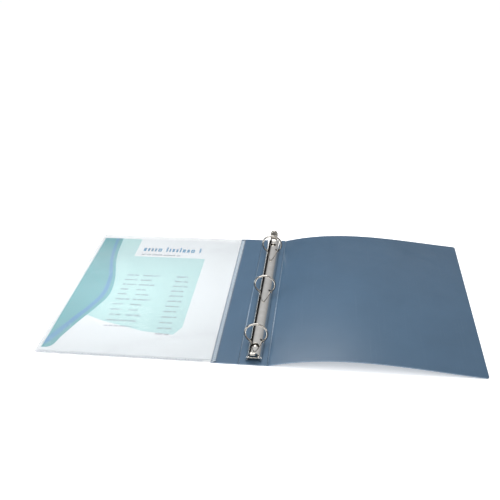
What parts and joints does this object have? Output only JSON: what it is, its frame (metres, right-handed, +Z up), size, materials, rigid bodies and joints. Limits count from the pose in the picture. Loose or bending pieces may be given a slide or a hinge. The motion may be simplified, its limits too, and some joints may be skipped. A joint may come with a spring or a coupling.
{
  "type": "ring binder",
  "caption": "Letter-size poly ring binder lying open: scored blue spine and bowed back cover, clear pocket front cover with printed inserts, and a nickel lever-opened ring mechanism.",
  "frame": {"origin": "middle of the spine's outer face, which lies on the table", "axes": "+X across the spine towards the back cover, +Y along the spine towards the top edge, +Z up from the outer face towards the rings"},
  "size_m": [0.546, 0.2972, 0.0323],
  "materials": {
    "blue_poly": "blue-grey extruded poly sheet with a fine satin texture",
    "hinge_poly": "the same sheet thinned and slightly stress-whitened at the score",
    "clear_film": "thin clear film, smooth",
    "clear_sheet": "clear sheet with a knurled weld",
    "title_paper": "printed office paper",
    "list_paper": "printed office paper",
    "nickel_plate": "bright nickel on rolled steel",
    "ring_nickel": "bright nickel on drawn wire",
    "lever_nickel": "bright nickel on a pressed lever",
    "rivet_nickel": "bright nickel on a tubular rivet",
    "rail_steel": "plain plated steel, unpolished"
  },
  "bodies": {
    "spine": {"spine_panel": "blue_poly", "ring_housing": "nickel_plate", "rivet_top": "rivet_nickel", "rivet_bottom": "rivet_nickel", "rivet_post_top": "rail_steel", "rivet_post_bottom": "rail_steel"},
    "front_cover": {"front_hinge_web": "hinge_poly", "front_cover_strip": "blue_poly", "pocket_outer_film": "clear_film", "pocket_inner_sheet": "clear_sheet", "title_insert": "title_paper", "list_insert": "list_paper"},
    "back_cover": {"back_hinge_web": "hinge_poly", "back_cover_panel": "blue_poly"},
    "left_rings": {"rail_left": "rail_steel", "ring_top_left": "ring_nickel", "ring_middle_left": "ring_nickel", "ring_bottom_left": "ring_nickel"},
    "right_rings": {"rail_right": "rail_steel", "ring_top_right": "ring_nickel", "ring_middle_right": "ring_nickel", "ring_bottom_right": "ring_nickel"},
    "top_lever": {"lever_top": "lever_nickel"},
    "bottom_lever": {"lever_bottom": "lever_nickel"}
  },
  "joints": [
    {"name": "front_cover_hinge", "type": "hinge", "parent": "spine", "child": "front_cover", "pos_m": [-0.0175, 0, 0.0002], "axis": [0, -1, 0], "range_deg": [-93, 0], "deforming": ["front_hinge_web", "front_cover_strip", "pocket_inner_sheet"]},
    {"name": "back_cover_hinge", "type": "hinge", "parent": "spine", "child": "back_cover", "pos_m": [0.0175, 0, 0.0002], "axis": [0, 1, 0], "range_deg": [-93, 0], "deforming": ["back_hinge_web", "back_cover_panel"]},
    {"name": "ring_opening", "type": "hinge", "parent": "spine", "child": "left_rings", "pos_m": [-0.00746, 0, 0.0042], "axis": [0, -1, 0], "range_deg": [0, 20]},
    {"name": "right_ring_pivot", "type": "hinge", "parent": "spine", "child": "right_rings", "pos_m": [0.00746, 0, 0.0042], "axis": [0, 1, 0], "range_deg": [0, 20]},
    {"name": "top_lever_pivot", "type": "hinge", "parent": "spine", "child": "top_lever", "pos_m": [0, 0.138, 0.0044], "axis": [-1, 0, 0], "range_deg": [0, 25]},
    {"name": "bottom_lever_pivot", "type": "hinge", "parent": "spine", "child": "bottom_lever", "pos_m": [0, -0.138, 0.0044], "axis": [1, 0, 0], "range_deg": [0, 25]}
  ],
  "couplings": [
    {"joint": "right_ring_pivot", "follows": "ring_opening", "ratio": 1},
    {"joint": "top_lever_pivot", "follows": "ring_opening", "ratio": 1.25},
    {"joint": "bottom_lever_pivot", "follows": "ring_opening", "ratio": 1.25}
  ]
}
